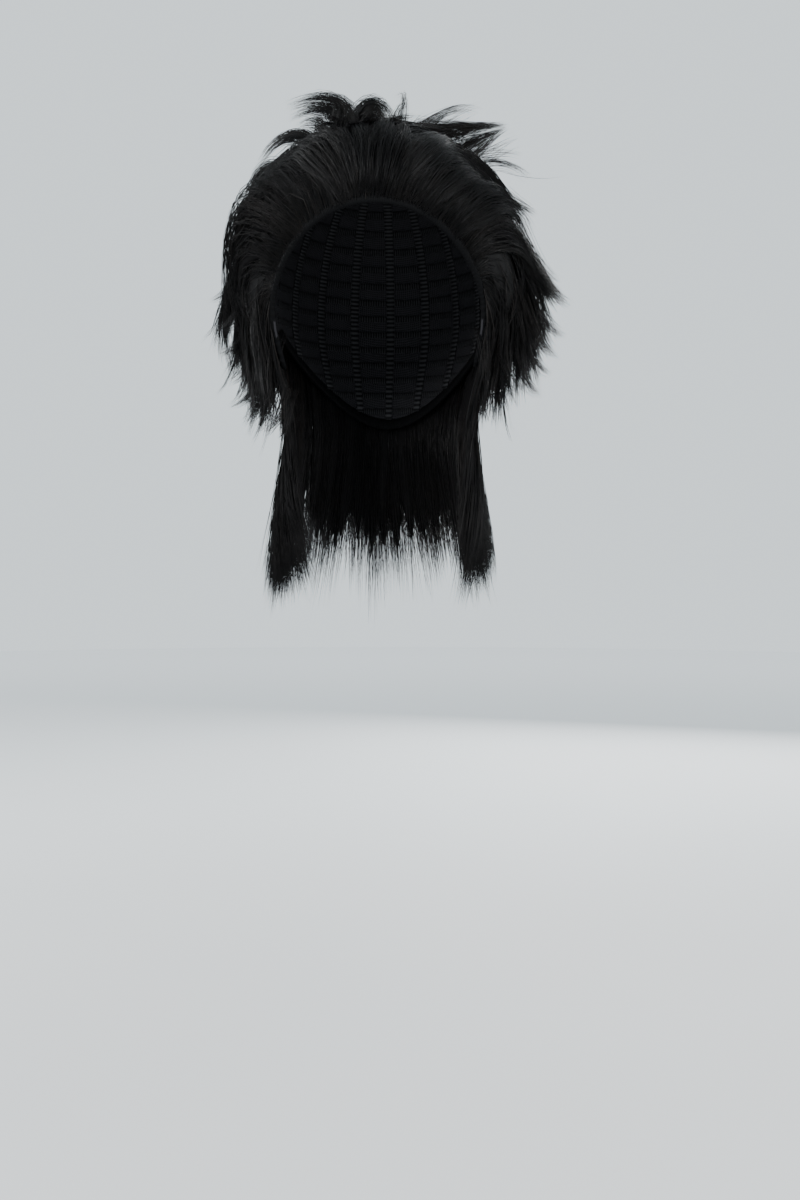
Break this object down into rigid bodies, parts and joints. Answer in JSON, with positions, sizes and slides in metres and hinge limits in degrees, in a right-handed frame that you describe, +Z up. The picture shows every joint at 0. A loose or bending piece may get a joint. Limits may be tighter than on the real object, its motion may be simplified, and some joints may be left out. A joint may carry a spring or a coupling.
{
  "type": "mullet wig",
  "caption": "Black synthetic mullet wig, short, choppy and swept back over the head and long and blunt at the nape, on an open cap with a taped edge.",
  "frame": {"origin": "inside of the cap at the crown, where the wearer's head or a display head bears", "axes": "+Z up out of the crown, -Y the way the face opening looks, +X on the right of a viewer who faces the opening"},
  "size_m": [0.2398, 0.225, 0.355],
  "materials": {
    "cap_net": "matte elastic net",
    "edge_tape": "matte ribbed tape",
    "hair": "straight synthetic fibre with a soft sheen"
  },
  "bodies": {
    "root": {"cap": "cap_net", "edge_tape": "edge_tape", "front_sweep": "hair", "crown": "hair", "left_side": "hair", "right_side": "hair", "upper_back": "hair", "lower_back": "hair", "mane": "hair", "left_tail": "hair", "right_tail": "hair"}
  },
  "joints": []
}
